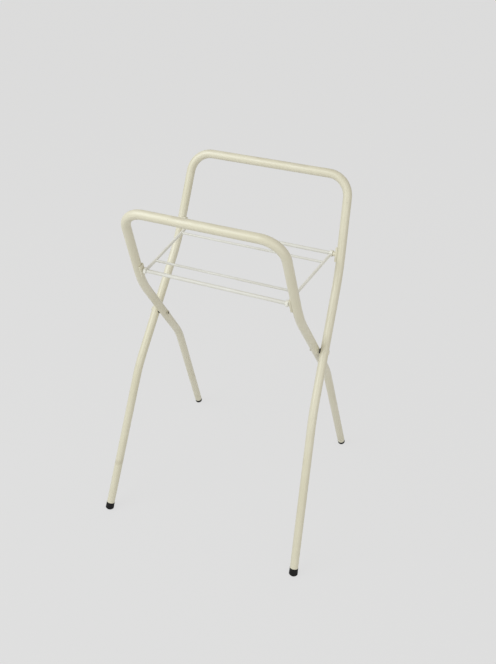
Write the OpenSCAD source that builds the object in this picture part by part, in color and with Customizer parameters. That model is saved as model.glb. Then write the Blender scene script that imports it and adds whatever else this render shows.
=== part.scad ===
// Folding stand for a baby bath tub.
// Two bent tube frames cross like scissors on a rivet at each side. A rack of
// two rails and two wires hangs on the rear rod, and its front hooks hold the
// front rod, so the spread of the legs is fixed while the rack is down.
// X runs to the right, Y to the back, Z up, the floor is at z = 0, in mm.

/* [Frame tube] */
// Outside diameter of the bent frame tube
tube_d = 22; // [19:0.5:25]
// Wall thickness of the frame tube
tube_wall = 1.2; // [0.8:0.1:2]
// Radius of the two corner bends beside each top bar
corner_r = 55.5; // [45:0.1:75]
// Radius of the gentle bends in the legs
leg_bend_r = 300; // [200:1:360]

/* [Legs seen from the side] */
// Height of the centre line of the top bars
top_z = 928.3; // [890:0.1:980]
// Distance of each top bar from the middle plane
top_y = 201.1; // [185:0.1:225]
// Height of the upper bend of each leg
upper_bend_z = 701.7; // [690:0.1:715]
// Distance of the upper bend from the middle plane
upper_bend_y = 117.7; // [106:0.1:130]
// Height of the lower bend of each leg
lower_bend_z = 414.2; // [385:0.1:435]
// Distance of the lower bend from the middle plane
lower_bend_y = 94.8; // [82:0.1:107]
// Distance of the foot from the middle plane
foot_y = 270.3; // [245:0.1:305]

/* [Legs seen from the front] */
// Half the width between the outer legs at the pivot height
outer_half_w = 241; // [225:0.5:270]
// Gap between the outer and the inner tube where they cross
tube_gap = 2; // [1.6:0.1:4]
// Sideways run of the legs for each mm of drop
splay = 0.0787; // [0.05:0.0001:0.1]

/* [Pivot] */
// Diameter of the pivot rivet's shank
rivet_d = 8; // [6:0.1:9]
// Running gap round the shank in the inner frame
pivot_gap = 0.08; // [0.03:0.01:0.1]
// Diameter of the spacer between the two tubes
spacer_d = 14; // [12:0.5:16]
// Smallest gap between a turning tube and a fixed face
turning_gap = 0.3; // [0.25:0.01:0.4]

/* [Rack] */
// Height of the rods, rails and wires of the rack
rack_z = 748; // [741:0.5:756]
// Diameter of the two cross rods fixed between the legs
rod_d = 9; // [8:0.1:10]
// Diameter of the side rails
rail_d = 7.6; // [6:0.1:8]
// Diameter of the two thin cross wires
wire_d = 6; // [4:0.1:7]
// Length of the sockets that stand off the rear brackets' plates
rear_socket_len = 7.4; // [6.6:0.1:9]
// Length of the sockets that stand off the front brackets' plates
front_socket_len = 2.3; // [1.5:0.1:3]
// Distance of the two cross wires from the middle plane
wire_y = 81; // [60:1:95]
// Width of the eye at the rear end of each rail
eye_w = 7; // [6:0.5:8]
// Width of the hook at the front end of each rail
hook_w = 6; // [5:0.5:6.5]

/* [Foot caps] */
// Diameter of the cap's head
cap_d = 23.4; // [22:0.2:26]
// Length of leg taken up by the cap's head
cap_len = 18; // [14:0.5:24]
// Radius of the rounded underside of the cap
cap_dome_r = 14; // [13:0.5:18]

/* [Hidden] */
$fn = 48;

// Colours: cream tube, black caps, dark plastic, plain steel, pale wire.
cream = [0.86, 0.84, 0.76];
black = [0.05, 0.05, 0.05];
nylon = [0.12, 0.12, 0.12];
steel = [0.62, 0.62, 0.62];
pale = [0.85, 0.84, 0.80];

// Shared sizes: tube radii, the gap under parts that bed on a tube, and how far
// a cutting tool runs past the face that it cuts.
tube_r = tube_d / 2;
bore_r = tube_r - tube_wall;
inner_half_w = outer_half_w - tube_d - tube_gap;
lean_k = sqrt(1 + splay * splay);
splay_angle = atan(splay);
far = 400;
seat_gap = 0.04;
through = 1;

// The pivot is where the straight middle parts of the legs cross.
pivot_z = upper_bend_z - upper_bend_y * (upper_bend_z - lower_bend_z)
    / (upper_bend_y + lower_bend_y);

// Sideways place of a leg's centre line at one height.
function leg_x(hw, z) = hw + splay * (pivot_z - z);
function unit(v) = v / norm(v);

// Directions down the three straight parts of a leg.
dir_upper = unit([splay * (top_z - upper_bend_z), upper_bend_y - top_y,
    upper_bend_z - top_z]);
dir_middle = unit([splay * (upper_bend_z - lower_bend_z),
    -lower_bend_y - upper_bend_y, lower_bend_z - upper_bend_z]);
dir_lower = unit([splay * lower_bend_z, lower_bend_y - foot_y, -lower_bend_z]);

// Lengths along the tube are kept to 0.001 mm. Turns are moved by 0.03 degrees
// at most, to an angle whose rounded sine and cosine still make a true rotation,
// so that neighbouring lengths of tube meet without a step.
function thou(v) = round(v * 1000) / 1000;
function six(v) = let (p = pow(10, 5 - floor(log(abs(v))))) round(v * p) / p;
function misfit(a) = abs(pow(six(cos(a)), 2) + pow(six(sin(a)), 2) - 1);
function true_turn(a) =
    let (tries = [for (i = [-3000:3000]) a + i / 100000])
    let (errs = [for (t = tries) misfit(t)])
    let (best = min(errs))
    [for (i = [0:len(tries) - 1]) if (errs[i] == best) tries[i]][0];

// Turn of the tube at each bend and the straight length it uses on each side.
corner_turn = true_turn(acos(dir_upper[0]));
upper_turn = true_turn(acos(dir_upper * dir_middle));
lower_turn = true_turn(acos(dir_middle * dir_lower));
corner_use = corner_r * tan(corner_turn / 2);
upper_use = leg_bend_r * tan(upper_turn / 2);
lower_use = leg_bend_r * tan(lower_turn / 2);

// Straight lengths between the bends.
upper_full = norm([splay * (top_z - upper_bend_z), upper_bend_y - top_y,
    upper_bend_z - top_z]);
middle_full = norm([splay * (upper_bend_z - lower_bend_z),
    -lower_bend_y - upper_bend_y, lower_bend_z - upper_bend_z]);
lower_full = norm([splay * lower_bend_z, lower_bend_y - foot_y, lower_bend_z]);
upper_len = thou(upper_full - corner_use - upper_use);
middle_len = thou(middle_full - upper_use - lower_use);
lower_len = thou(lower_full - lower_use - cap_len);
function bar_half(hw) = thou(leg_x(hw, top_z) - corner_use);

// Tilt of the corner bend, and the roll from it into the plane of the leg.
corner_tilt = atan2(dir_upper[1], -dir_upper[2]);
corner_x = cos(corner_turn) * unit([0, dir_upper[1], dir_upper[2]])
    - sin(corner_turn) * [1, 0, 0];
corner_y = cross([1, 0, 0], unit([0, dir_upper[1], dir_upper[2]]));
bend_side = unit(dir_middle - (dir_upper * dir_middle) * dir_upper);
leg_roll = true_turn(atan2(bend_side * corner_y, bend_side * corner_x));

// The upper bend in the plane of the leg, measured along Y and up the plane.
bend_start = [upper_bend_y, upper_bend_z * lean_k]
    - upper_use * [dir_upper[1], dir_upper[2] * lean_k];
bend_mid = bend_start + leg_bend_r * [bend_side[1], bend_side[2] * lean_k];

// Place and lean of a leg's centre line at the height of the rods.
rod_up = rack_z * lean_k;
rod_y = rod_up > bend_start[1]
    ? upper_bend_y + (rod_up / lean_k - upper_bend_z) * dir_upper[1] / dir_upper[2]
    : bend_mid[0] + sqrt(pow(leg_bend_r, 2) - pow(rod_up - bend_mid[1], 2));
rod_lean = rod_up > bend_start[1]
    ? atan2(dir_upper[1], dir_upper[2] * lean_k) + 180
    : asin((bend_mid[1] - rod_up) / leg_bend_r);

// Sideways distance from a tube's centre line to its surface.
crown = tube_r * lean_k;

// Rod brackets: a saddle plate with a socket and two small rivets.
plate_t = 2.5;
saddle_t = 2.6;
plate_w = 16;
plate_h = 36;
socket_d = 12.6;
bracket_rivet_d = 3.4;
bracket_rivet_head = 5.4;
bracket_rivet_half = 11.5;
bracket_rivet_gap = 0.1;
bracket_rivet_hole = bracket_rivet_d + 2 * bracket_rivet_gap;
bracket_head_h = 1.3;
blind_r = 2.4;
blind_l = 2;
blind_gap = 0.4;
rod_fit = 0.05;
rod_end_gap = 0.7;
rail_side_gap = 0.35;
front_rail_gap = 1.2;
function socket_x(hw, socket_len) = leg_x(hw, rack_z) - crown - plate_t - socket_len;
rear_socket_x = socket_x(outer_half_w, rear_socket_len);
front_socket_x = socket_x(inner_half_w, front_socket_len);

// Half the spacing of the side rails at the rear rod and at the front rod.
rail_rear_x = rear_socket_x - rail_side_gap - eye_w / 2;
rail_front_x = front_socket_x - front_rail_gap - rail_d / 2;

// Rail ends: a closed eye on the rear rod, an open hook on the front rod. The
// rack swings up three times as fast as the frames fold, and the hook's mouth
// points the way the front rod then leaves it.
eye_gap = 0.09;
eye_d = 16.6;
hook_gap = 0.3;
hook_d = 15.6;
mouth_half = rod_d / 2 + hook_gap - 0.08;
swing_ratio = 3;
mouth_lean = atan2(rack_z - pivot_z, (2 * swing_ratio - 1) * rod_y);
rail_run = norm([rail_rear_x - rail_front_x, 2 * rod_y]);
rail_turn = atan2(rail_rear_x - rail_front_x, 2 * rod_y);

// Foot caps: a hollow stem in the tube, and the depth worn off the domed end.
stem_gap = 0.1;
stem_l = 16;
stem_wall = 2;
worn_flat = 0.6;

// Pivot parts along the X axis, measured from the middle plane.
rivet_fit = 0.04;
rivet_hole = rivet_d + 2 * rivet_fit;
edge_rise = splay * spacer_d / 2;
spacer_face_x = inner_half_w + crown + edge_rise + turning_gap;
washer_d = 13;
washer_t = 0.8;
washer_x = inner_half_w - crown - edge_rise - turning_gap;
head_d = 13;
head_h = 2.6;
head_bed = 0.7;
tail_d = 11;
tail_h = 2.4;
tail_bore = 5;
tail_bore_l = 7;

// ---- bent tube --------------------------------------------------------------
// A length of tube, or of solid rod when wall is 0, from the origin up Z.
module run(d, wall, len) {
    linear_extrude(height = len)
        difference() {
            circle(d = d);
            if (wall > 0)
                circle(d = d - 2 * wall);
        }
}

// The same section bent round a radius, from the origin up Z towards +X. The
// ring is swept a little too far and its far end is then cut square.
module bend(d, wall, r, turn) {
    translate([r, 0, 0])
        rotate([90, 0, 180])
            difference() {
                rotate_extrude(angle = turn + 2, $fn = 96)
                    translate([r, 0])
                        difference() {
                            circle(d = d, $fn = 32);
                            if (wall > 0)
                                circle(d = d - 2 * wall, $fn = 32);
                        }
                rotate([0, 0, turn])
                    translate([0, 0, -d])
                        cube([r + d, d, 2 * d]);
            }
}

// Carries its children to the far end of a bend.
module after_bend(r, turn) {
    translate([r, 0, 0])
        rotate([0, turn, 0])
            translate([-r, 0, 0])
                children();
}

// Stations along one half of a frame, from the middle of the top bar.
module at_top_middle() {
    translate([0, top_y, top_z])
        rotate([corner_tilt, 0, 0])
            rotate([0, 90, 0])
                children();
}

module at_corner(hw) {
    at_top_middle()
        translate([0, 0, bar_half(hw)])
            children();
}

module at_upper_leg(hw) {
    at_corner(hw)
        after_bend(corner_r, corner_turn)
            rotate([0, 0, 180])
                children();
}

module at_upper_bend(hw) {
    at_upper_leg(hw)
        translate([0, 0, upper_len])
            rotate([0, 0, 180 + leg_roll])
                children();
}

module at_middle_leg(hw) {
    at_upper_bend(hw)
        after_bend(leg_bend_r, upper_turn)
            rotate([0, 0, 180])
                children();
}

module at_lower_bend(hw) {
    at_middle_leg(hw)
        translate([0, 0, middle_len])
            children();
}

module at_lower_leg(hw) {
    at_lower_bend(hw)
        after_bend(leg_bend_r, lower_turn)
            rotate([0, 0, 180])
                children();
}

module at_tube_end(hw) {
    at_lower_leg(hw)
        translate([0, 0, lower_len])
            children();
}

// One side of a frame, from the middle of the top bar to the open end of the leg.
module frame_side(hw) {
    at_top_middle()
        run(tube_d, tube_wall, bar_half(hw));
    at_corner(hw)
        bend(tube_d, tube_wall, corner_r, corner_turn);
    at_upper_leg(hw)
        run(tube_d, tube_wall, upper_len);
    at_upper_bend(hw)
        bend(tube_d, tube_wall, leg_bend_r, upper_turn);
    at_middle_leg(hw)
        run(tube_d, tube_wall, middle_len);
    at_lower_bend(hw)
        bend(tube_d, tube_wall, leg_bend_r, lower_turn);
    at_lower_leg(hw)
        run(tube_d, tube_wall, lower_len);
}

// Carries its children to the right and to the left.
module both_sides() {
    children();
    mirror([1, 0, 0])
        children();
}

// A whole frame with its top bar at the back, drilled for pivot and brackets.
module bent_frame(hw, pivot_hole) {
    difference() {
        both_sides()
            frame_side(hw);
        both_sides() {
            translate([hw - 2 * tube_d, 0, pivot_z])
                rotate([0, 90, 0])
                    cylinder(d = pivot_hole, h = 4 * tube_d);
            on_leg(hw)
                bracket_rivet_places()
                    cylinder(d = bracket_rivet_hole, h = tube_r);
        }
    }
}

// ---- rod brackets -----------------------------------------------------------
// A leg's centre line at rod height: Z up the leg, X square to the leg's plane.
module on_leg(hw) {
    translate([leg_x(hw, rack_z), rod_y, rack_z])
        rotate([-rod_lean, -splay_angle, 0])
            children();
}

// Two places for rivets, pointing outwards from the plate into the tube.
module bracket_rivet_places() {
    for (up = [-1, 1])
        translate([-tube_r - plate_t, 0, up * bracket_rivet_half])
            rotate([0, 90, 0])
                children();
}

// A pressed plate that hugs the tube, with a socket for the rod's end.
module rod_bracket(hw, socket_face) {
    plate_x = leg_x(hw, rack_z) - crown;
    difference() {
        union() {
            on_leg(hw)
                translate([-tube_r - plate_t, -plate_w / 2, -plate_h / 2])
                    cube([plate_t + saddle_t, plate_w, plate_h]);
            translate([socket_face, rod_y, rack_z])
                rotate([0, 90, 0])
                    cylinder(d = socket_d, h = plate_x - socket_face);
        }
        at_upper_bend(hw)
            bend(tube_d + 2 * seat_gap, 0, leg_bend_r, upper_turn);
        at_upper_leg(hw)
            run(tube_d + 2 * seat_gap, 0, upper_len);
        translate([socket_face - through, rod_y, rack_z])
            rotate([0, 90, 0])
                cylinder(d = rod_d + 2 * rod_fit, h = plate_x + tube_r - socket_face);
        on_leg(hw)
            bracket_rivet_places()
                translate([0, 0, -through])
                    cylinder(d = bracket_rivet_hole, h = tube_r);
    }
}

// The two blind rivets of a bracket: domed head, shank, swelled blind end.
module bracket_rivets(hw) {
    blind_z = plate_t + tube_wall + blind_gap;
    head_r = bracket_rivet_head / 2;
    on_leg(hw)
        bracket_rivet_places()
            rotate_extrude()
                polygon([
                    [0, -bracket_head_h],
                    [0.45 * head_r, -0.92 * bracket_head_h],
                    [0.78 * head_r, -0.62 * bracket_head_h],
                    [head_r, 0],
                    [bracket_rivet_d / 2, 0],
                    [bracket_rivet_d / 2, blind_z],
                    [blind_r, blind_z],
                    [blind_r, blind_z + blind_l],
                    [0, blind_z + 1.3 * blind_l]
                ]);
}

// A straight rod between the two legs of one frame.
module cross_rod(hw) {
    rod_end = leg_x(hw, rack_z) - crown - rod_end_gap;
    translate([-rod_end, rod_y, rack_z])
        rotate([0, 90, 0])
            cylinder(d = rod_d, h = 2 * rod_end);
}

// ---- pivot ------------------------------------------------------------------
// Carries children drawn up Z onto the pivot axis, pointing to the right.
module on_pivot() {
    translate([0, 0, pivot_z])
        rotate([0, 90, 0])
            children();
}

// The outer leg as a solid bar, used to shape the faces that bed on it.
module outer_leg_bar() {
    at_middle_leg(outer_half_w)
        run(tube_d + 2 * seat_gap, 0, middle_len);
}

// Rivet: domed head on the outer leg, shank, hollow rolled tail inside.
module pivot_rivet() {
    head_x = outer_half_w + crown - head_bed;
    tail_x = washer_x - washer_t;
    difference() {
        on_pivot()
            rotate_extrude()
                polygon([
                    [0, head_x], [head_d / 2, head_x],
                    [head_d / 2, head_x + 0.4 * head_h],
                    [head_d / 2 - 0.7, head_x + 0.65 * head_h],
                    [head_d / 2 - 2, head_x + 0.86 * head_h],
                    [head_d / 2 - 3.8, head_x + 0.97 * head_h],
                    [0, head_x + head_h]
                ]);
        outer_leg_bar();
    }
    on_pivot()
        difference() {
            union() {
                translate([0, 0, tail_x - tail_h])
                    cylinder(d = rivet_d, h = head_x + head_h / 2 - tail_x + tail_h);
                translate([0, 0, tail_x - tail_h / 2])
                    cylinder(d = tail_d, h = tail_h / 2);
                translate([0, 0, tail_x - tail_h / 2])
                    rotate_extrude()
                        translate([(tail_d - tail_h) / 2, 0])
                            circle(d = tail_h, $fn = 24);
            }
            translate([0, 0, tail_x - tail_h - through])
                cylinder(d = tail_bore, h = tail_bore_l + through);
        }
}

// Spacer: flat towards the inner leg, saddle shaped against the outer leg.
module pivot_spacer() {
    difference() {
        on_pivot()
            translate([0, 0, spacer_face_x])
                cylinder(d = spacer_d, h = outer_half_w - spacer_face_x);
        outer_leg_bar();
        on_pivot()
            translate([0, 0, spacer_face_x - through])
                cylinder(d = rivet_hole, h = tube_d);
    }
}

module tail_washer() {
    on_pivot()
        translate([0, 0, washer_x - washer_t])
            difference() {
                cylinder(d = washer_d, h = washer_t);
                translate([0, 0, -through])
                    cylinder(d = rivet_hole, h = washer_t + 2 * through);
            }
}

// ---- foot caps --------------------------------------------------------------
// Domed plug in the open end of a leg, worn flat where it stands on the floor.
module foot_cap(hw) {
    stem_d = 2 * (bore_r - stem_gap);
    dome_z = (cap_dome_r - worn_flat) / -dir_lower[2];
    intersection() {
        at_tube_end(hw)
            difference() {
                union() {
                    intersection() {
                        cylinder(d = cap_d, h = cap_len + cap_dome_r);
                        translate([0, 0, cap_len - dome_z])
                            sphere(r = cap_dome_r);
                    }
                    translate([0, 0, -stem_l])
                        cylinder(d = stem_d, h = stem_l + through);
                }
                translate([0, 0, -stem_l - through])
                    cylinder(d = stem_d - 2 * stem_wall, h = stem_l);
            }
        translate([-far, -far, 0])
            cube([2 * far, 2 * far, far]);
    }
}

// ---- rack -------------------------------------------------------------------
// A side rail with a closed eye on the rear rod and a hook on the front rod.
module rack_rail() {
    difference() {
        union() {
            translate([rail_front_x, -rod_y, rack_z])
                rotate([-90, 0, -rail_turn])
                    cylinder(d = rail_d, h = rail_run);
            translate([rail_rear_x - eye_w / 2, rod_y, rack_z])
                rotate([0, 90, 0])
                    cylinder(d = eye_d, h = eye_w);
            translate([rail_front_x - hook_w / 2, -rod_y, rack_z])
                rotate([0, 90, 0])
                    cylinder(d = hook_d, h = hook_w);
        }
        translate([rail_rear_x - eye_w, rod_y, rack_z])
            rotate([0, 90, 0])
                cylinder(d = rod_d + 2 * eye_gap, h = 2 * eye_w);
        translate([rail_front_x - hook_w, -rod_y, rack_z]) {
            rotate([0, 90, 0])
                cylinder(d = rod_d + 2 * hook_gap, h = 2 * hook_w);
            rotate([mouth_lean, 0, 0])
                translate([0, -mouth_half, -hook_d])
                    cube([2 * hook_w, 2 * mouth_half, hook_d]);
        }
    }
}

// A thin wire between the rails, its ends shaped to the rails' sides.
module rack_wire(y) {
    half = rail_front_x + (rail_rear_x - rail_front_x) * (y + rod_y) / (2 * rod_y);
    difference() {
        translate([-half, y, rack_z])
            rotate([0, 90, 0])
                cylinder(d = wire_d, h = 2 * half);
        both_sides()
            translate([rail_front_x, -rod_y, rack_z])
                rotate([-90, 0, -rail_turn])
                    cylinder(d = rail_d, h = rail_run);
    }
}

// ---- sub-parts --------------------------------------------------------------
module outer_frame() {
    color(cream)
        bent_frame(outer_half_w, rivet_hole);
}

module inner_frame() {
    color(cream)
        mirror([0, 1, 0])
            bent_frame(inner_half_w, rivet_d + 2 * pivot_gap);
}

module foot_cap_front_right() {
    color(black)
        foot_cap(outer_half_w);
}

module foot_cap_front_left() {
    color(black)
        mirror([1, 0, 0])
            foot_cap(outer_half_w);
}

module foot_cap_back_right() {
    color(black)
        mirror([0, 1, 0])
            foot_cap(inner_half_w);
}

module foot_cap_back_left() {
    color(black)
        mirror([0, 1, 0])
            mirror([1, 0, 0])
                foot_cap(inner_half_w);
}

module pivot_rivet_right() {
    color(cream)
        pivot_rivet();
}

module pivot_rivet_left() {
    color(cream)
        mirror([1, 0, 0])
            pivot_rivet();
}

module pivot_spacer_right() {
    color(nylon)
        pivot_spacer();
}

module pivot_spacer_left() {
    color(nylon)
        mirror([1, 0, 0])
            pivot_spacer();
}

module tail_washer_right() {
    color(steel)
        tail_washer();
}

module tail_washer_left() {
    color(steel)
        mirror([1, 0, 0])
            tail_washer();
}

module rear_rod() {
    color(pale)
        cross_rod(outer_half_w);
}

module front_rod() {
    color(pale)
        mirror([0, 1, 0])
            cross_rod(inner_half_w);
}

module rod_bracket_rear_right() {
    color(cream)
        rod_bracket(outer_half_w, rear_socket_x);
}

module rod_bracket_rear_left() {
    color(cream)
        mirror([1, 0, 0])
            rod_bracket(outer_half_w, rear_socket_x);
}

module rod_bracket_front_right() {
    color(cream)
        mirror([0, 1, 0])
            rod_bracket(inner_half_w, front_socket_x);
}

module rod_bracket_front_left() {
    color(cream)
        mirror([0, 1, 0])
            mirror([1, 0, 0])
                rod_bracket(inner_half_w, front_socket_x);
}

module bracket_rivets_rear_right() {
    color(steel)
        bracket_rivets(outer_half_w);
}

module bracket_rivets_rear_left() {
    color(steel)
        mirror([1, 0, 0])
            bracket_rivets(outer_half_w);
}

module bracket_rivets_front_right() {
    color(steel)
        mirror([0, 1, 0])
            bracket_rivets(inner_half_w);
}

module bracket_rivets_front_left() {
    color(steel)
        mirror([0, 1, 0])
            mirror([1, 0, 0])
                bracket_rivets(inner_half_w);
}

module rack_rail_right() {
    color(pale)
        rack_rail();
}

module rack_rail_left() {
    color(pale)
        mirror([1, 0, 0])
            rack_rail();
}

module rack_wire_front() {
    color(pale)
        rack_wire(-wire_y);
}

module rack_wire_back() {
    color(pale)
        rack_wire(wire_y);
}

outer_frame();
inner_frame();
foot_cap_front_left();
foot_cap_front_right();
foot_cap_back_left();
foot_cap_back_right();
pivot_rivet_left();
pivot_rivet_right();
pivot_spacer_left();
pivot_spacer_right();
tail_washer_left();
tail_washer_right();
rear_rod();
front_rod();
rod_bracket_rear_left();
rod_bracket_rear_right();
rod_bracket_front_left();
rod_bracket_front_right();
bracket_rivets_rear_left();
bracket_rivets_rear_right();
bracket_rivets_front_left();
bracket_rivets_front_right();
rack_rail_left();
rack_rail_right();
rack_wire_front();
rack_wire_back();
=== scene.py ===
# %% [markdown]
# # A folding stand for a baby bath tub
# Two bent steel tubes cross like scissors, and a wire rack hooked between them
# holds them spread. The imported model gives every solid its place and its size.
# This notebook gives those solids the look of the real stand: baked enamel on
# the tubes, a thin pale coating on the wires, black moulded caps on the legs,
# and the beads and marks that welding and use leave behind.

# %% Load the fixed frame and the tools
import bpy, math
from mathutils import Vector, Matrix


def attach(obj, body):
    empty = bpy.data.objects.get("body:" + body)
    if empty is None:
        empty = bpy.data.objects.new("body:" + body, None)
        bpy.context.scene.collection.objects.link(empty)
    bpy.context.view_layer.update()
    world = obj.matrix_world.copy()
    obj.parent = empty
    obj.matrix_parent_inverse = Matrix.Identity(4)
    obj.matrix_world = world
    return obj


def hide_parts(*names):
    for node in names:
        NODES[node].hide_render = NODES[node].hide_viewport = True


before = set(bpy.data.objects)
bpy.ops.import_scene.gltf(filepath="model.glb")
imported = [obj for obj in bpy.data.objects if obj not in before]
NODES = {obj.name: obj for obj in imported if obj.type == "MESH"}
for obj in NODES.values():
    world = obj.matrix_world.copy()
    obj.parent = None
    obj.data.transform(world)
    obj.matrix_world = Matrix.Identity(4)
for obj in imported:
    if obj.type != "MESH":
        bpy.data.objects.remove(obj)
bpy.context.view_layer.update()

# %% [markdown]
# ## Camera first
# The photograph's camera was solved from the curves of the tubes, so the stand
# falls on the picture without any fitting. It stands about a metre and a half
# from the stand, looks down on it and is turned a little to the left. Setting
# it before any modelling lets each new piece be judged from the right place.

# %% Camera
CAMERA_PLACE = Vector((0.577707, -1.339737, 1.540397))
YAW, PITCH, ROLL = (math.radians(a) for a in (-22.166, 34.542, 1.049))
FOCAL_PIXELS, FRAME_HEIGHT, SENSOR_MM = 671.42, 664, 36

look = Vector((math.sin(YAW) * math.cos(PITCH), math.cos(YAW) * math.cos(PITCH),
               -math.sin(PITCH)))
level = Vector((math.cos(YAW), -math.sin(YAW), 0))
above = level.cross(look)
right = math.cos(ROLL) * level + math.sin(ROLL) * above
up = math.cos(ROLL) * above - math.sin(ROLL) * level
lens = bpy.data.cameras.new("photo_camera")
lens.sensor_width = SENSOR_MM
lens.lens = FOCAL_PIXELS * SENSOR_MM / FRAME_HEIGHT
camera = bpy.data.objects.new("photo_camera", lens)
bpy.context.collection.objects.link(camera)
turn = Matrix((right, up, -look)).transposed().to_4x4()
camera.matrix_world = Matrix.Translation(CAMERA_PLACE) @ turn
bpy.context.scene.camera = camera
bpy.context.scene.view_settings.view_transform = "Standard"
print("camera lens %.1f mm at" % lens.lens, [round(v, 3) for v in camera.location])

# %% [markdown]
# ## Shared sizes
# These repeat a few driving sizes of the model, in metres, so that the new
# pieces land on the tubes and wires. A leg leans outwards by the splay, and its
# lower part also runs forwards or backwards down to the floor.

# %% Shared sizes
PIVOT_Z = 0.542459
SPLAY = 0.0787
OUTER_HALF, INNER_HALF = 0.241, 0.217
TUBE_R = 0.011
LOWER_BEND_Y, LOWER_BEND_Z = 0.0948, 0.4142
FOOT_Y = 0.2703
ROD_Y, RACK_Z = 0.134741, 0.748
WIRE_Y = 0.081
RAIL_FRONT_X, RAIL_REAR_X = 0.17999, 0.20004
BRACKET_PLATE = 0.0025


def leg_x(half, z):
    """Sideways place of a leg's centre line at height z."""
    return half + SPLAY * (PIVOT_Z - z)


def down_the_leg(side, front):
    """Unit vector down a lower leg: side is 1 or -1, front is -1 or 1."""
    return Vector((side * SPLAY * LOWER_BEND_Z, front * (FOOT_Y - LOWER_BEND_Y),
                   -LOWER_BEND_Z)).normalized()


print("leg at the floor: %.3f m from the middle" % leg_x(OUTER_HALF, 0))

# %% [markdown]
# ## A helper for turned forms
# Caps, rivets, weld beads and fillets are all round about one axis. They could
# be spun from a profile, but growing them ring by ring is closer to how a hand
# works: start from a disc, extrude its face, resize it, and repeat. Each stop is
# a radius and a place along the axis. The disc that starts the form stays as its
# closed end, so the shell has no holes.


# %% Turned forms
def only(piece):
    """Select one piece and nothing else."""
    bpy.ops.object.select_all(action="DESELECT")
    piece.select_set(True)
    bpy.context.view_layer.objects.active = piece


def turned(name, stops, sides):
    """A closed form about the Z axis, grown through stops of (radius, place)."""
    bpy.ops.object.select_all(action="DESELECT")
    radius, along = stops[0]
    bpy.ops.mesh.primitive_circle_add(vertices=sides, radius=radius, fill_type="NGON",
                                      location=(0, 0, along))
    piece = bpy.context.object
    piece.name = name
    bpy.ops.object.transform_apply(location=True)
    bpy.ops.object.mode_set(mode="EDIT")
    for (r0, z0), (r1, z1) in zip(stops, stops[1:]):
        bpy.ops.mesh.extrude_region_move(TRANSFORM_OT_translate={"value": (0, 0, z1 - z0)})
        bpy.ops.transform.resize(value=(r1 / r0, r1 / r0, 1), center_override=(0, 0, z1))
    bpy.ops.mesh.select_all(action="SELECT")
    bpy.ops.mesh.normals_make_consistent(inside=False)
    bpy.ops.object.mode_set(mode="OBJECT")
    return piece


def placed_copy(model, name, point, axis):
    """A copy with its own mesh, its Z axis laid along axis from point."""
    piece = model.copy()
    piece.data = model.data.copy()
    piece.name = piece.data.name = name
    bpy.context.collection.objects.link(piece)
    rotation = Vector((0, 0, 1)).rotation_difference(axis).to_matrix().to_4x4()
    piece.matrix_world = Matrix.Translation(point) @ rotation
    only(piece)
    bpy.ops.object.transform_apply(location=True, rotation=True, scale=True)
    return piece


def finish_piece(piece, body, material, smooth_angle=40):
    """Smooth a piece, give it its finish and tell the frame where it belongs."""
    only(piece)
    bpy.ops.object.shade_smooth_by_angle(angle=math.radians(smooth_angle))
    piece.data.materials.clear()
    piece.data.materials.append(material)
    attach(piece, body)


print("helpers ready")

# %% [markdown]
# ## Layers that the finishes share
# A baked or moulded surface is never one flat colour. It has a slow drift over a
# hand's width, small specks, and a fine grain that only gloss and bump show.
# These layers are node groups with named sockets, made once and set to
# different values in each finish. Everything reads Object coordinates, which are
# the stand's own metres, so the pattern stays put when the stand folds.


# %% Node helpers
def new_group(name, sockets_in, sockets_out):
    tree = bpy.data.node_groups.new(name, "ShaderNodeTree")
    for socket, kind, value in sockets_in:
        s = tree.interface.new_socket(name=socket, in_out="INPUT", socket_type=kind)
        s.default_value = value
    for socket, kind in sockets_out:
        tree.interface.new_socket(name=socket, in_out="OUTPUT", socket_type=kind)
    return tree, tree.nodes.new("NodeGroupInput"), tree.nodes.new("NodeGroupOutput")


def add(tree, kind, values=None, **props):
    n = tree.nodes.new(kind)
    for k, v in props.items():
        setattr(n, k, v)
    for k, v in (values or {}).items():
        n.inputs[k].default_value = v
    return n


def noise(tree, scale, detail, stretch=(1, 1, 1)):
    place = add(tree, "ShaderNodeTexCoord")
    size_it = add(tree, "ShaderNodeMapping", {"Scale": stretch})
    n = add(tree, "ShaderNodeTexNoise", {"Scale": scale, "Detail": detail})
    tree.links.new(place.outputs["Object"], size_it.inputs["Vector"])
    tree.links.new(size_it.outputs["Vector"], n.inputs["Vector"])
    return n.outputs["Fac"]


def between(tree, value, low, high, to_low=0.0, to_high=1.0):
    n = add(tree, "ShaderNodeMapRange", {"From Min": low, "From Max": high,
                                         "To Min": to_low, "To Max": to_high})
    tree.links.new(value, n.inputs["Value"])
    return n.outputs["Result"]


def maths(tree, operation, a, b):
    n = add(tree, "ShaderNodeMath", operation=operation)
    for socket, v in zip(n.inputs, (a, b)):
        if isinstance(v, (int, float)):
            socket.default_value = v
        else:
            tree.links.new(v, socket)
    return n.outputs["Value"]


def blend_colour(tree, amount, a, b):
    n = add(tree, "ShaderNodeMix", data_type="RGBA")
    for socket, v in zip((n.inputs[0], n.inputs[6], n.inputs[7]), (amount, a, b)):
        if isinstance(v, (tuple, float)):
            socket.default_value = v
        else:
            tree.links.new(v, socket)
    return n.outputs[2]


def principled(name, **constants):
    m = bpy.data.materials.new(name)
    m.use_nodes = True
    shader = m.node_tree.nodes["Principled BSDF"]
    for k, v in constants.items():
        shader.inputs[k.replace("_", " ")].default_value = v
    return m, m.node_tree, shader


def wire_up(tree, layers, shader, colour, strength, depth):
    """Join a layer group to a shader; the height reaches it through a bump."""
    tree.links.new(colour, shader.inputs["Base Color"])
    tree.links.new(layers.outputs["Roughness"], shader.inputs["Roughness"])
    bump = add(tree, "ShaderNodeBump", {"Strength": strength, "Distance": depth})
    tree.links.new(layers.outputs["Height"], bump.inputs["Height"])
    tree.links.new(bump.outputs["Normal"], shader.inputs["Normal"])


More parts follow.
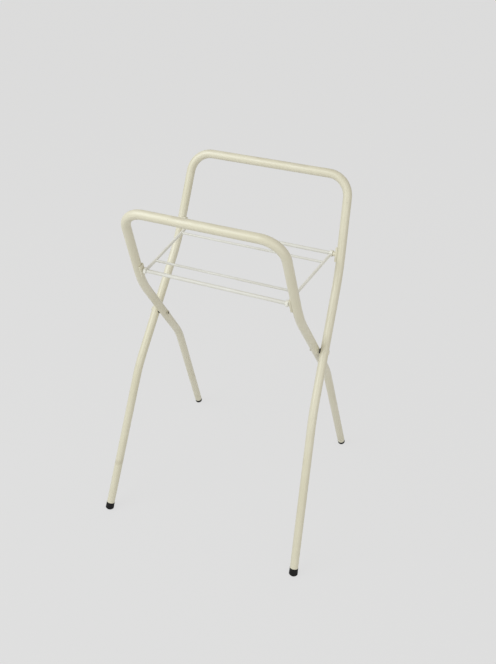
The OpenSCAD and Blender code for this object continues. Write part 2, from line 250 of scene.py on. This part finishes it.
COLOUR, NUMBER = "NodeSocketColor", "NodeSocketFloat"
LAYER_OUTPUTS = [("Colour", COLOUR), ("Roughness", NUMBER), ("Height", NUMBER)]
print("node helpers ready")

# %% [markdown]
# ## Baked enamel
# The tubes are dipped or sprayed cream and baked. The enamel is satin, a shade
# yellower where it lies thick, with a soft orange-peel skin, a few pin-prick
# specks where dust fell in, and small dull patches from cloths and hands. Paint
# on a plain noise would look like stone, so the layers stay faint. A scale is
# the number of noise cells in a metre: 7 drifts over a hand, 380 is the skin.

# %% Enamel layers
DRIFT_SCALE, PATCH_SCALE, SPECK_SCALE, PEEL_SCALE = 7.0, 26.0, 210.0, 380.0
SPECK_FROM, SPECK_FULL, SPECK_AMOUNT = 0.75, 0.80, 0.6
PATCH_DULLNESS = 0.16


def enamel_layers():
    tree, given, out = new_group(
        "enamel_layers",
        [("Thin", COLOUR, (0.715, 0.68, 0.540, 1)), ("Thick", COLOUR, (0.67, 0.632, 0.480, 1)),
         ("Speck", COLOUR, (0.30, 0.26, 0.18, 1)), ("Satin", NUMBER, 0.34)], LAYER_OUTPUTS)
    drift = noise(tree, DRIFT_SCALE, 3.0)
    colour = blend_colour(tree, between(tree, drift, 0.36, 0.66),
                          given.outputs["Thin"], given.outputs["Thick"])
    specks = between(tree, noise(tree, SPECK_SCALE, 2.0), SPECK_FROM, SPECK_FULL,
                     0.0, SPECK_AMOUNT)
    colour = blend_colour(tree, specks, colour, given.outputs["Speck"])
    patches = between(tree, noise(tree, PATCH_SCALE, 4.0), 0.42, 0.70, 0.0, PATCH_DULLNESS)
    peel = noise(tree, PEEL_SCALE, 1.0)
    tree.links.new(colour, out.inputs["Colour"])
    tree.links.new(maths(tree, "ADD", given.outputs["Satin"], patches), out.inputs["Roughness"])
    tree.links.new(maths(tree, "SUBTRACT", peel, maths(tree, "MULTIPLY", specks, 0.5)),
                   out.inputs["Height"])
    return tree


ENAMEL = enamel_layers()
print("enamel sockets:", [s.name for s in ENAMEL.interface.items_tree])

# %% [markdown]
# ## Wear on the enamel
# Two kinds of wear belong to a place and not to the paint. The tub's rim rubs
# the crowns of the two top bars dull, and one front leg has a faint ring round
# it. Both are masks made from the height on the stand and mixed over the layers
# above; a little noise breaks up the rubbed places. The outer and inner tubes
# differ a little in gloss, as two parts of one batch do.

# %% Wear masks
RUB_FROM, RUB_FULL, RUB_AMOUNT = 0.934, 0.9388, 0.35
RUB_SCALE, ALONG_THE_BAR = 60.0, (0.35, 1, 1)
RING_Z, RING_HALF, RING_AMOUNT = 0.147, 0.0085, 0.38
LEFT_OF, FRONT_OF = -0.1, -0.1
SKIN_STRENGTH, SKIN_DEPTH = 0.05, 0.0004


def rub_mask(tree, height):
    """Dull, broken patches on the crowns of the top bars."""
    broken = between(tree, noise(tree, RUB_SCALE, 3.0, ALONG_THE_BAR), 0.40, 0.62)
    high = between(tree, height, RUB_FROM, RUB_FULL, 0.0, RUB_AMOUNT)
    return maths(tree, "MULTIPLY", high, broken)


def ring_mask(tree, axes):
    """A faint ring round the left front leg."""
    off = maths(tree, "ABSOLUTE", maths(tree, "SUBTRACT", axes.outputs["Z"], RING_Z), 0.0)
    ring = between(tree, off, RING_HALF, RING_HALF * 0.4, 0.0, RING_AMOUNT)
    left = maths(tree, "LESS_THAN", axes.outputs["X"], LEFT_OF)
    front = maths(tree, "LESS_THAN", axes.outputs["Y"], FRONT_OF)
    return maths(tree, "MULTIPLY", ring, maths(tree, "MULTIPLY", left, front))


def enamelled(name, satin, worn_colour, ringed=False):
    m, tree, shader = principled(name, Coat_Weight=0.6, Coat_Roughness=0.38,
                                 Specular_IOR_Level=0.6)
    layers = add(tree, "ShaderNodeGroup", node_tree=ENAMEL)
    layers.inputs["Satin"].default_value = satin
    place = add(tree, "ShaderNodeTexCoord")
    axes = add(tree, "ShaderNodeSeparateXYZ")
    tree.links.new(place.outputs["Object"], axes.inputs["Vector"])
    colour = blend_colour(tree, rub_mask(tree, axes.outputs["Z"]),
                          layers.outputs["Colour"], worn_colour)
    if ringed:
        colour = blend_colour(tree, ring_mask(tree, axes), colour, worn_colour)
    wire_up(tree, layers, shader, colour, SKIN_STRENGTH, SKIN_DEPTH)
    return m


WORN = (0.47, 0.42, 0.31, 1)
SATIN_OUTER, SATIN_INNER, SATIN_FITTINGS = 0.40, 0.42, 0.44
cream_outer = enamelled("cream_enamel_outer_tube", SATIN_OUTER, WORN, ringed=True)
cream_inner = enamelled("cream_enamel_inner_tube", SATIN_INNER, WORN)
cream_small = enamelled("cream_enamel_fittings", SATIN_FITTINGS, WORN)
print("enamel finishes:", [m.name for m in bpy.data.materials if "enamel" in m.name])

# %% [markdown]
# ## Coated wire, moulded caps, dark spacers and steel
# The rods, rails and wires carry a thin off-white coating. The rails get a
# lighter copy of it, painted light that brightens them where they lie in shade.
# The caps and spacers are moulded black plastic and dull. The blind rivets are
# plain pressed steel with a brushed skin. All three skins are the same idea at
# other scales, so one function builds a group for each: a slow drift between
# two colours and two levels of gloss, and a fine grain.

# %% Moulded and pressed finishes
GRAIN_DEPTH = 0.0003


def skin_layers(name, drift_scale, grain_scale, smooth, rough, stretch=(1, 1, 1)):
    tree, given, out = new_group(
        name, [("Base", COLOUR, (0.5, 0.5, 0.5, 1)), ("Drift", COLOUR, (0.4, 0.4, 0.4, 1))],
        LAYER_OUTPUTS)
    drift = noise(tree, drift_scale, 4.0, stretch)
    colour = blend_colour(tree, between(tree, drift, 0.35, 0.68),
                          given.outputs["Base"], given.outputs["Drift"])
    tree.links.new(colour, out.inputs["Colour"])
    tree.links.new(between(tree, drift, 0.3, 0.7, smooth, rough), out.inputs["Roughness"])
    tree.links.new(noise(tree, grain_scale, 2.0, stretch), out.inputs["Height"])
    return tree


def skinned(name, group, base, drift, strength, **constants):
    m, tree, shader = principled(name, **constants)
    layers = add(tree, "ShaderNodeGroup", node_tree=group)
    layers.inputs["Base"].default_value = base
    layers.inputs["Drift"].default_value = drift
    wire_up(tree, layers, shader, layers.outputs["Colour"], strength, GRAIN_DEPTH)
    return m, tree, shader


COATING = skin_layers("wire_coating", drift_scale=16.0, grain_scale=420.0,
                      smooth=0.42, rough=0.60)
MOULDED = skin_layers("moulded_skin", drift_scale=70.0, grain_scale=1100.0,
                      smooth=0.45, rough=0.70)
PRESSED = skin_layers("pressed_skin", drift_scale=120.0, grain_scale=800.0,
                      smooth=0.30, rough=0.52, stretch=(1, 4, 1))
pale = skinned("pale_coated_wire", COATING, base=(0.73, 0.725, 0.675, 1),
               drift=(0.68, 0.67, 0.61, 1), strength=0.05,
               Coat_Weight=0.25, Coat_Roughness=0.2)[0]
# Painted light: the rails get a lighter copy of the wire coating, brighter than the coating's
# own colour, for the shade they lie in.
pale_rail_painted_light = skinned("pale_coated_rail_painted_light", COATING, base=(0.83, 0.82, 0.76, 1),
                    drift=(0.78, 0.77, 0.70, 1), strength=0.05,
                    Coat_Weight=0.25, Coat_Roughness=0.2)[0]
spacer = skinned("dark_spacer", MOULDED, base=(0.018, 0.018, 0.018, 1),
                 drift=(0.040, 0.038, 0.035, 1), strength=0.15)[0]
steel = skinned("plain_steel", PRESSED, base=(0.40, 0.39, 0.37, 1),
                drift=(0.26, 0.24, 0.22, 1), strength=0.10, Metallic=1.0)[0]
print("skins:", [g.name for g in (COATING, MOULDED, PRESSED)])

# %% [markdown]
# ## Dust on the caps
# Floor dust gathers on the lowest few millimetres of a black cap. The mask falls
# off with height above the floor, and a fine noise breaks it up.

# %% Cap finish
DUST_TOP, DUST_AMOUNT, DUST_SCALE = 0.006, 0.3, 300.0
DUST_GREY = (0.16, 0.15, 0.13, 1)
black, cap_tree, cap_shader = skinned(
    "black_moulded_cap", MOULDED, base=(0.006, 0.006, 0.006, 1),
    drift=(0.012, 0.0115, 0.011, 1), strength=0.20, Specular_IOR_Level=0.18)
cap_place = add(cap_tree, "ShaderNodeTexCoord")
cap_axes = add(cap_tree, "ShaderNodeSeparateXYZ")
cap_tree.links.new(cap_place.outputs["Object"], cap_axes.inputs["Vector"])
low_down = between(cap_tree, cap_axes.outputs["Z"], DUST_TOP, 0.0, 0.0, DUST_AMOUNT)
dust = maths(cap_tree, "MULTIPLY", low_down,
             between(cap_tree, noise(cap_tree, DUST_SCALE, 3.0), 0.4, 0.65))
plain_black = cap_shader.inputs["Base Color"].links[0].from_socket
cap_tree.links.new(blend_colour(cap_tree, dust, plain_black, DUST_GREY),
                   cap_shader.inputs["Base Color"])
print("cap finish:", black.name)

# %% [markdown]
# ## The rivets' hollow tails
# A semi-tubular rivet is set before painting: its rolled tail is enamelled like
# the tube, and the paint rubs off its rim. The hollow gets a near-black colour,
# painted shade for the dark inside of the recess, and the brown rim darkens
# towards it, rubbed paint with painted shade at the hollow's mouth. The hollow
# lies on the pivot's axis, so the distance from that axis picks out the hollow's
# painted shade and the brown rim.

# %% Rivet finish
HOLLOW_R, HOLLOW_EDGE, RIM_EDGE = 0.0027, 0.0031, 0.0046
# The near-black is painted shade for the inside of the hollow; the brown is rubbed paint on the
# rim, with painted shade towards the hollow.
RUBBED_AND_SHADED_BROWN, HOLLOW_PAINTED_SHADE = (0.20, 0.17, 0.12, 1), (0.012, 0.010, 0.008, 1)


def rivet_finish():
    m = enamelled("cream_enamel_rivet", SATIN_FITTINGS, WORN)
    tree = m.node_tree
    shader = tree.nodes["Principled BSDF"]
    place = add(tree, "ShaderNodeTexCoord")
    axes = add(tree, "ShaderNodeSeparateXYZ")
    tree.links.new(place.outputs["Object"], axes.inputs["Vector"])
    rise = maths(tree, "SUBTRACT", axes.outputs["Z"], PIVOT_Z)
    off_axis = maths(tree, "SQRT", maths(tree, "ADD", maths(tree, "MULTIPLY", rise, rise),
                     maths(tree, "MULTIPLY", axes.outputs["Y"], axes.outputs["Y"])), 0.0)
    inside = maths(tree, "LESS_THAN", maths(tree, "ABSOLUTE", axes.outputs["X"], 0.0),
                   INNER_HALF)
    # Painted shade: the hollow gets a near-black colour for the shade inside its recess.
    hollow = maths(tree, "MULTIPLY", inside, between(tree, off_axis, HOLLOW_EDGE, HOLLOW_R))
    # The rim turns brown towards the hollow: rubbed paint, with painted shade at the hollow's
    # mouth.
    rim = maths(tree, "MULTIPLY", inside, between(tree, off_axis, RIM_EDGE, HOLLOW_EDGE))
    colour = shader.inputs["Base Color"].links[0].from_socket
    colour = blend_colour(tree, rim, colour, RUBBED_AND_SHADED_BROWN)
    colour = blend_colour(tree, hollow, colour, HOLLOW_PAINTED_SHADE)
    tree.links.new(colour, shader.inputs["Base Color"])
    return m


rivet = rivet_finish()
print("rivet finish:", rivet.name)

# %% [markdown]
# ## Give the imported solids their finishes
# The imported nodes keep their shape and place. Only the material in their slot
# changes, picked by the piece's name. The rear brackets are taken to be riveted
# on after painting, so their rivets are bare steel; the front ones are painted
# over.

# %% Finishes by piece
FINISH_BY_NAME = (("outer_frame", cream_outer), ("inner_frame", cream_inner),
                  ("pivot_rivet", rivet), ("rod_bracket", cream_small),
                  ("tail_washer", cream_small), ("foot_cap", black),
                  ("pivot_spacer", spacer), ("bracket_rivets_front", cream_small),
                  ("bracket_rivets_rear", steel),
                  ("rack_rail", pale_rail_painted_light), ("rack_wire", pale),
                  ("rear_rod", pale), ("front_rod", pale))
for name, solid in NODES.items():
    finish = next(m for start, m in FINISH_BY_NAME if name.startswith(start))
    if not solid.material_slots:
        solid.data.materials.append(None)
    for s in solid.material_slots:
        s.material = finish
print("finished nodes:", len(NODES))

# %% [markdown]
# ## Black caps on the legs
# Each leg ends in a moulded cap: a stem inside the tube, two shallow grooves
# round it, and a domed underside worn flat on the floor. The front caps have a
# thin skirt that reaches up over the tube's cut end; the back ones end flush
# with it. A cap is grown ring by ring along its own axis, copied to each leg of
# its pair, laid along the leg and cut level with the floor.

# %% Foot caps
CAP_R, CAP_LENGTH, DOME_R = 0.0117, 0.018, 0.014
STEM_R, STEM_TOP, STEM_LEAD = 0.0096, 0.0155, 0.0008
SKIRT_WALL, SKIRT_LENGTH = 0.0004, 0.0070
FLUSH = 0.0001
GROOVES, MOULD_STEP = (0.0045, 0.0068), 0.0003
WORN_FLAT, ON_THE_PLANE = 0.0006, 0.000001
DOME_RINGS, CAP_SIDES = 7, 48


def cap_stops(skirt, lip, body_r):
    """Radius and place down the leg, from the stem's top to the dome's tip."""
    dome_centre = CAP_LENGTH - (DOME_R - WORN_FLAT) / -down_the_leg(1, -1).z
    stops = [(STEM_R - STEM_LEAD, -STEM_TOP), (STEM_R, -STEM_TOP + STEM_LEAD),
             (STEM_R, -skirt), (lip - MOULD_STEP, -skirt), (lip, -skirt + MOULD_STEP),
             (lip, SKIRT_WALL)]
    for groove in GROOVES:
        stops += [(body_r, groove), (body_r - MOULD_STEP, groove + MOULD_STEP),
                  (body_r - MOULD_STEP, groove + 2 * MOULD_STEP),
                  (body_r, groove + 3 * MOULD_STEP)]
    for i in range(DOME_RINGS):
        across = body_r * math.cos(math.pi / 2 * i / DOME_RINGS)
        stops.append((across, dome_centre + math.sqrt(DOME_R ** 2 - across ** 2)))
    return stops


def cut_at_floor(piece):
    """Cut away what lies below the floor and close the cut."""
    only(piece)
    bpy.ops.object.mode_set(mode="EDIT")
    bpy.ops.mesh.select_all(action="SELECT")
    bpy.ops.mesh.bisect(plane_co=(0, 0, 0), plane_no=(0, 0, 1), use_fill=True,
                        clear_inner=True, threshold=ON_THE_PLANE)
    bpy.ops.object.mode_set(mode="OBJECT")


def tube_end(frame_name, side):
    """Middle of the open end of a leg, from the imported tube's own corners."""
    corners = [v.co for v in NODES[frame_name].data.vertices
               if v.co.z < 2 * CAP_LENGTH and v.co.x * side > 0]
    low, high = (Vector(pick(c[i] for c in corners) for i in range(3)) for pick in (min, max))
    return (low + high) / 2


CAPS = (("front", -1, "outer_frame", SKIRT_LENGTH, TUBE_R + SKIRT_WALL, CAP_R),
        ("back", 1, "inner_frame", 0.0, TUBE_R - FLUSH, TUBE_R))
for depth, front, body, skirt, lip, body_r in CAPS:
    model = turned("cap_model", cap_stops(skirt, lip, body_r), CAP_SIDES)
    for hand, side in (("left", -1), ("right", 1)):
        axis = down_the_leg(side, front)
        cap = placed_copy(model, "moulded_cap_%s_%s" % (depth, hand),
                          tube_end(body, side), axis)
        cut_at_floor(cap)
        finish_piece(cap, body, black)
        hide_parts("foot_cap_%s_%s" % (depth, hand))
        print(cap.name, "faces:", len(cap.data.polygons))
    bpy.data.objects.remove(model)

# %% [markdown]
# ## Pivot rivets
# A rivet joins the two tubes on each side. Outside it has a low domed head whose
# skirt beds on the round of the tube; inside, its hollow end is rolled back over
# a washer. The whole rivet is one turned form: down the head, along the shank,
# round the roll and up into the hollow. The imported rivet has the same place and
# the same shank, but the picture shows a flatter head and roll. The head's
# profile is in shares of its radius and rise; the roll's gives a step inwards in
# metres and a share of its height.

# %% Rivets
HEAD_R, HEAD_RISE, HEAD_SKIRT = 0.0062, 0.0013, 0.0024
HEAD_PROFILE = ((0.15, 1.0), (0.45, 0.95), (0.72, 0.80), (0.90, 0.58), (0.98, 0.32),
                (1.0, 0.08))
SHANK_R, HOLLOW_DEPTH = 0.0040, 0.0065
ROLL_R, ROLL_H = 0.0052, 0.0013
ROLL_PROFILE = ((0.0003, 0.0), (0.0, 0.35), (0.0002, 0.7), (0.0009, 1.0), (0.0017, 0.95))
TAPER, DRILL_POINT = 0.0002, 0.0006
SIDE_OF_TUBE = TUBE_R * math.sqrt(1 + SPLAY ** 2)
WASHER_FACE = 0.204315
TURNED_SIDES = 40


def rivet_stops():
    """Radius and distance inwards from the crown of the outer tube."""
    roll = OUTER_HALF + SIDE_OF_TUBE - WASHER_FACE
    head = [(HEAD_R * k, -HEAD_RISE * h) for k, h in HEAD_PROFILE]
    shank = [(HEAD_R, HEAD_SKIRT), (SHANK_R, HEAD_SKIRT + 0.5 * TAPER),
             (SHANK_R, roll - TAPER)]
    tail = [(ROLL_R - step, roll + ROLL_H * h) for step, h in ROLL_PROFILE]
    hollow = [(HOLLOW_R + 1.5 * TAPER, roll + 0.6 * ROLL_H), (HOLLOW_R, roll),
              (HOLLOW_R - TAPER, roll - HOLLOW_DEPTH),
              (DRILL_POINT, roll - HOLLOW_DEPTH - DRILL_POINT)]
    return head + shank + tail + hollow


rivet_model = turned("rivet_model", rivet_stops(), TURNED_SIDES)
for hand, side in (("left", -1), ("right", 1)):
    piece = placed_copy(rivet_model, "rolled_rivet_" + hand,
                        Vector((side * (OUTER_HALF + SIDE_OF_TUBE), 0, PIVOT_Z)),
                        Vector((-side, 0, 0)))
    finish_piece(piece, "outer_frame", rivet)
    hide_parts("pivot_rivet_" + hand)
bpy.data.objects.remove(rivet_model)
print("rivet head rise: %.1f mm" % (1000 * HEAD_RISE))

# %% [markdown]
# ## Weld beads on the rack
# The two cross wires are welded to the side rails, and a little metal swells out
# round each wire's end. A bead is a small turned collar that starts inside the
# rail and runs out along the wire. Each copy is roughened with its own seed,
# because no two welds are alike.

# %% Weld beads
BEAD_STOPS = [(0.0014, 0.0006), (0.0025, 0.0016), (0.0030, 0.0024), (0.0032, 0.0032),
              (0.0032, 0.0039), (0.0031, 0.0047), (0.0029, 0.0057), (0.0022, 0.0064)]
BEAD_ROUGH, BEAD_SIDES, FIRST_SEED = 0.00007, 24, 11
BEAD_SMOOTH = 60


def rail_x(y):
    """Sideways place of the right rail's axis at depth y."""
    along = (y + ROD_Y) / (2 * ROD_Y)
    return RAIL_FRONT_X + (RAIL_REAR_X - RAIL_FRONT_X) * along


bead_model = turned("bead_model", BEAD_STOPS, BEAD_SIDES)
for row, (wire, y) in enumerate((("front", -WIRE_Y), ("back", WIRE_Y))):
    for hand, side in (("left", -1), ("right", 1)):
        bead = placed_copy(bead_model, "weld_bead_%s_%s" % (wire, hand),
                           Vector((side * rail_x(y), y, RACK_Z)), Vector((-side, 0, 0)))
        bpy.ops.object.mode_set(mode="EDIT")
        bpy.ops.mesh.select_all(action="SELECT")
        bpy.ops.transform.vertex_random(offset=BEAD_ROUGH, uniform=1.0,
                                        seed=FIRST_SEED + 2 * row + (side > 0))
        bpy.ops.object.mode_set(mode="OBJECT")
        finish_piece(bead, "rack", pale, BEAD_SMOOTH)
bpy.data.objects.remove(bead_model)

# %% [markdown]
# ## Pressed brackets with eased edges
# The brackets that hold the rods are pressed from sheet and then enamelled, so
# no edge of theirs is sharp: the press rounds it and the paint fills it further.
# A plain bevel on a copy of each packed bracket gives that. The copy is merged
# first and its nearly flat faces are joined, so the bevel follows only edges that
# are close to square. Clamping is off, because the shortest edge would otherwise
# hold the whole bevel back.

# %% Pressed brackets
EASE, EASE_STEPS = 0.0003, 3
SAME_POINT, BRACKET_SMOOTH = 0.00001, 50
FLAT_WITHIN, TRUE_EDGE = math.radians(5), math.radians(80)


def eased_copy(solid, name):
    """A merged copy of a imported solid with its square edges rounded."""
    piece = bpy.data.objects.new(name, solid.data.copy())
    bpy.context.collection.objects.link(piece)
    only(piece)
    bpy.ops.object.mode_set(mode="EDIT")
    bpy.ops.mesh.select_all(action="SELECT")
    bpy.ops.mesh.remove_doubles(threshold=SAME_POINT)
    bpy.ops.mesh.dissolve_limited(angle_limit=FLAT_WITHIN)
    bpy.ops.object.mode_set(mode="OBJECT")
    ease = piece.modifiers.new("eased_edges", "BEVEL")
    ease.width, ease.segments = EASE, EASE_STEPS
    ease.limit_method, ease.angle_limit = "ANGLE", TRUE_EDGE
    ease.use_clamp_overlap = False
    bpy.ops.object.modifier_apply(modifier=ease.name)
    return piece


for depth, body in (("rear", "outer_frame"), ("front", "inner_frame")):
    for hand in ("left", "right"):
        node = "rod_bracket_%s_%s" % (depth, hand)
        bracket = eased_copy(NODES[node], "eased_" + node)
        finish_piece(bracket, body, cream_small, BRACKET_SMOOTH)
        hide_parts(node)
        print(bracket.name, "faces:", len(bracket.data.polygons))

# %% [markdown]
# ## Fillets round the rod sockets
# Each bracket's socket is drawn out of its plate, which leaves a soft fillet
# where the two meet, filled further by the enamel. A thin turned collar with the
# fillet's curve is laid in the corner.

# %% Socket fillets
SOCKET_R, FILLET_R, FILLET_STEPS = 0.0063, 0.0011, 5
SUNK_IN_PLATE, SUNK_IN_SOCKET, END_LIP = 0.0006, 0.0010, 0.0001
fillet_stops = [(SOCKET_R + FILLET_R, -SUNK_IN_PLATE)]
for i in range(FILLET_STEPS + 1):
    a = math.pi / 2 * i / FILLET_STEPS
    fillet_stops.append((SOCKET_R + FILLET_R * (1 - math.sin(a)),
                         FILLET_R * (1 - math.cos(a))))
fillet_stops.append((SOCKET_R - SUNK_IN_SOCKET, FILLET_R + END_LIP))
fillet_model = turned("fillet_model", fillet_stops, TURNED_SIDES)
for depth, y, half, body in (("rear", ROD_Y, OUTER_HALF, "outer_frame"),
                             ("front", -ROD_Y, INNER_HALF, "inner_frame")):
    plate_x = leg_x(half, RACK_Z) - SIDE_OF_TUBE - BRACKET_PLATE
    for hand, side in (("left", -1), ("right", 1)):
        fillet = placed_copy(fillet_model, "socket_fillet_%s_%s" % (depth, hand),
                             Vector((side * plate_x, y, RACK_Z)), Vector((-side, 0, 0)))
        finish_piece(fillet, body, cream_small)
bpy.data.objects.remove(fillet_model)
print("fillet collar: %.1f mm across" % (2000 * (SOCKET_R + FILLET_R)))

# %% [markdown]
# ## Studio
# The picture has an even pale grey behind the stand and no hard shadow. A plain
# plane carries that grey. Most of what the camera and the reflections see of it
# is a steady glow through Light Path, mixed with a little of the lit surface, so
# the grey stays even but the legs keep a faint shadow. The diffuse light on the
# stand does not change.

# %% Floor
BACKDROP = (0.742, 0.742, 0.742, 1)
STEADY_SHARE, FLOOR_DULLNESS = 0.92, 0.9
FLOOR_ACROSS = 300


def seen_share(tree):
    """1 where the camera, a reflection or a clear material looks, else 0."""
    path = add(tree, "ShaderNodeLightPath")
    share = maths(tree, "MAXIMUM", path.outputs["Is Camera Ray"],
                  path.outputs["Is Glossy Ray"])
    return maths(tree, "MAXIMUM", share, path.outputs["Is Transmission Ray"])


bpy.ops.object.select_all(action="DESELECT")
bpy.ops.mesh.primitive_plane_add(size=FLOOR_ACROSS)
floor = bpy.context.object
floor.name = "studio_floor"
floor_finish, tree, shader = principled("floor_pale", Roughness=FLOOR_DULLNESS,
                                         Base_Color=BACKDROP)
glow = add(tree, "ShaderNodeEmission", {"Color": BACKDROP, "Strength": 1.0})
mixed = add(tree, "ShaderNodeMixShader")
tree.links.new(maths(tree, "MULTIPLY", seen_share(tree), STEADY_SHARE), mixed.inputs["Fac"])
tree.links.new(shader.outputs["BSDF"], mixed.inputs[1])
tree.links.new(glow.outputs["Emission"], mixed.inputs[2])
tree.links.new(mixed.outputs["Shader"], tree.nodes["Material Output"].inputs["Surface"])
floor.data.materials.append(floor_finish)
print("floor:", floor.name)

# %% [markdown]
# ## Light
# A big soft lamp high on the left brightens the crowns of the tubes, a weaker
# one fills from the right, and the world gives the rest. The world is a little
# warm and the lamps a little cool, because the picture's enamel is yellower in
# the shade than in the light.

# %% World and lamps
WORLD_LEVEL, WARM_WHITE = 0.49, (1.0, 0.955, 0.875, 1)
LAMP_ACROSS, LAMP_AIM = 2.4, (0, 0, 0.6)
LAMPS = {"key": ((-1.6, -1.7, 2.6), 58, (0.91, 0.965, 1.0)),
         "fill": ((2.2, -1.9, 1.5), 22, (0.94, 0.975, 1.0))}
world = bpy.data.worlds.new("studio")
bpy.context.scene.world = world
world.use_nodes = True
tree = world.node_tree
soft = tree.nodes["Background"]
soft.inputs["Color"].default_value = WARM_WHITE
soft.inputs["Strength"].default_value = WORLD_LEVEL
behind = add(tree, "ShaderNodeBackground", {"Color": BACKDROP, "Strength": 1.0})
mixed = add(tree, "ShaderNodeMixShader")
tree.links.new(seen_share(tree), mixed.inputs["Fac"])
tree.links.new(soft.outputs["Background"], mixed.inputs[1])
tree.links.new(behind.outputs["Background"], mixed.inputs[2])
tree.links.new(mixed.outputs["Shader"], tree.nodes["World Output"].inputs["Surface"])


def lamp(name, place, watts, tint):
    """A square soft lamp that looks at the middle of the stand."""
    data = bpy.data.lights.new(name, "AREA")
    data.size = LAMP_ACROSS
    data.energy = watts
    data.color = tint
    o = bpy.data.objects.new(name, data)
    bpy.context.collection.objects.link(o)
    o.location = place
    o.rotation_euler = (Vector(LAMP_AIM) - Vector(place)).to_track_quat("-Z", "Y").to_euler()


for name, (place, watts, tint) in LAMPS.items():
    lamp(name, place, watts, tint)
print("lamps:", sorted(LAMPS))
